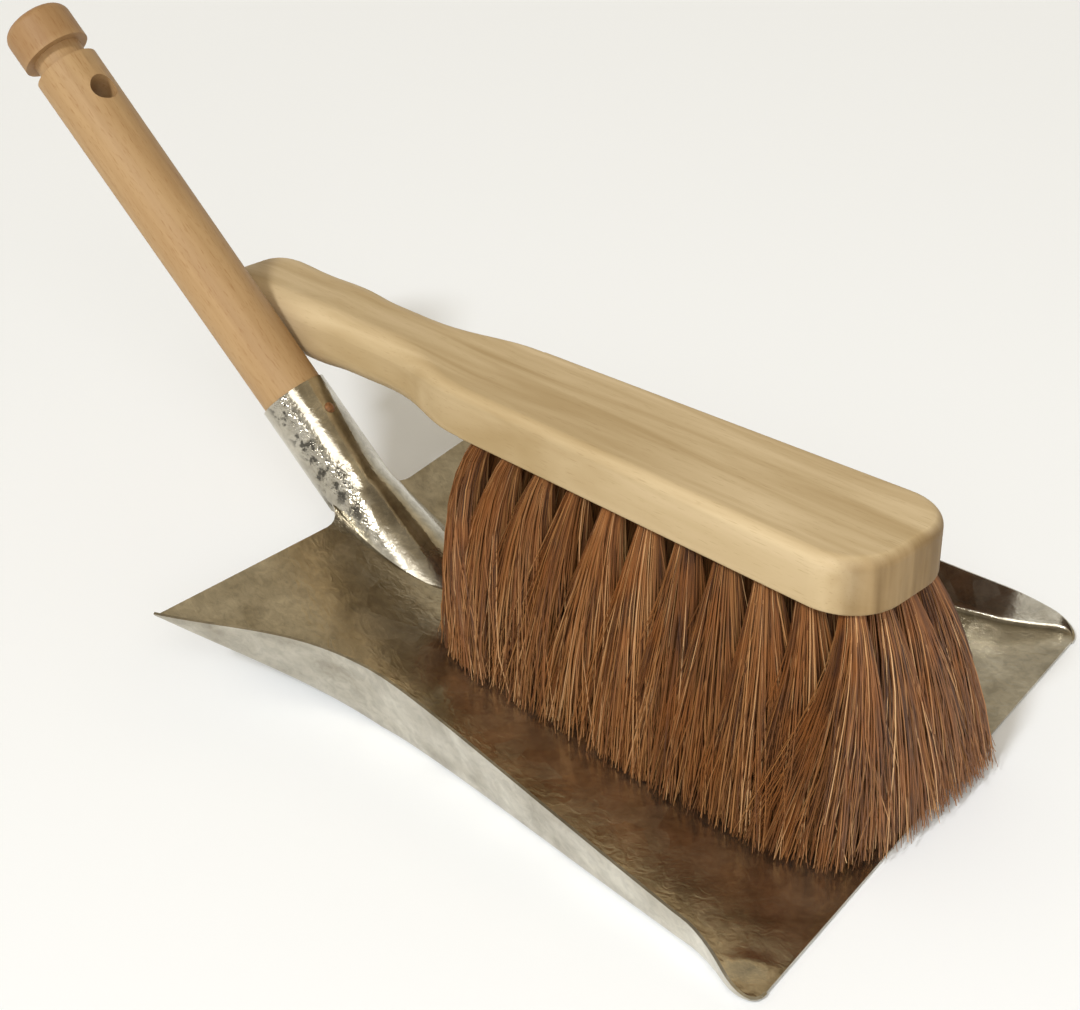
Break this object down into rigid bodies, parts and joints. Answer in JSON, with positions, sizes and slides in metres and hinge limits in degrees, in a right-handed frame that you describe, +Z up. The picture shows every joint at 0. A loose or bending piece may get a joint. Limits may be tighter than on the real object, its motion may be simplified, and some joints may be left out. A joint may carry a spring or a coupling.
{
  "type": "dust pan and brush set",
  "caption": "Folded sheet-metal dust pan with a rolled socket and a turned wooden handle, and a loose wooden hand brush with flared coir tufts standing in its tray.",
  "frame": {"origin": "on the ground, under the middle of the pan's flat floor", "axes": "+X from the handle towards the pan's lip, +Y to the pan's left seen from behind the handle, +Z up"},
  "size_m": [0.3756, 0.2072, 0.1667],
  "materials": {
    "galvanised_sheet": "hot-dip galvanised, spangled",
    "handle_wood": "turned and sanded, unvarnished",
    "stock_wood": "sanded, unvarnished",
    "coir": "raw plant fibre",
    "nail_steel": "lightly rusted",
    "staple_wire": "drawn wire"
  },
  "bodies": {
    "pan": {"pan_sheet": "galvanised_sheet", "pan_handle": "handle_wood", "handle_nail": "nail_steel"},
    "brush": {"brush_stock": "stock_wood", "tuft_staples": "staple_wire", "tuft_01_1": "coir", "tuft_01_2": "coir", "tuft_01_3": "coir", "tuft_01_4": "coir", "tuft_02_1": "coir", "tuft_02_2": "coir", "tuft_02_3": "coir", "tuft_02_4": "coir", "tuft_03_1": "coir", "tuft_03_2": "coir", "tuft_03_3": "coir", "tuft_03_4": "coir", "tuft_04_1": "coir", "tuft_04_2": "coir", "tuft_04_3": "coir", "tuft_04_4": "coir", "tuft_05_1": "coir", "tuft_05_2": "coir", "tuft_05_3": "coir", "tuft_05_4": "coir", "tuft_06_1": "coir", "tuft_06_2": "coir", "tuft_06_3": "coir", "tuft_06_4": "coir", "tuft_07_1": "coir", "tuft_07_2": "coir", "tuft_07_3": "coir", "tuft_07_4": "coir", "tuft_08_1": "coir", "tuft_08_2": "coir", "tuft_08_3": "coir", "tuft_08_4": "coir", "tuft_09_1": "coir", "tuft_09_2": "coir", "tuft_09_3": "coir", "tuft_09_4": "coir", "tuft_10_1": "coir", "tuft_10_2": "coir", "tuft_10_3": "coir", "tuft_10_4": "coir", "tuft_11_1": "coir", "tuft_11_2": "coir", "tuft_11_3": "coir", "tuft_11_4": "coir"}
  },
  "joints": [
    {"name": "brush_lift", "type": "slide", "parent": "pan", "child": "brush", "axis": [0, 0, 1], "range_m": [0, 0.2]}
  ]
}
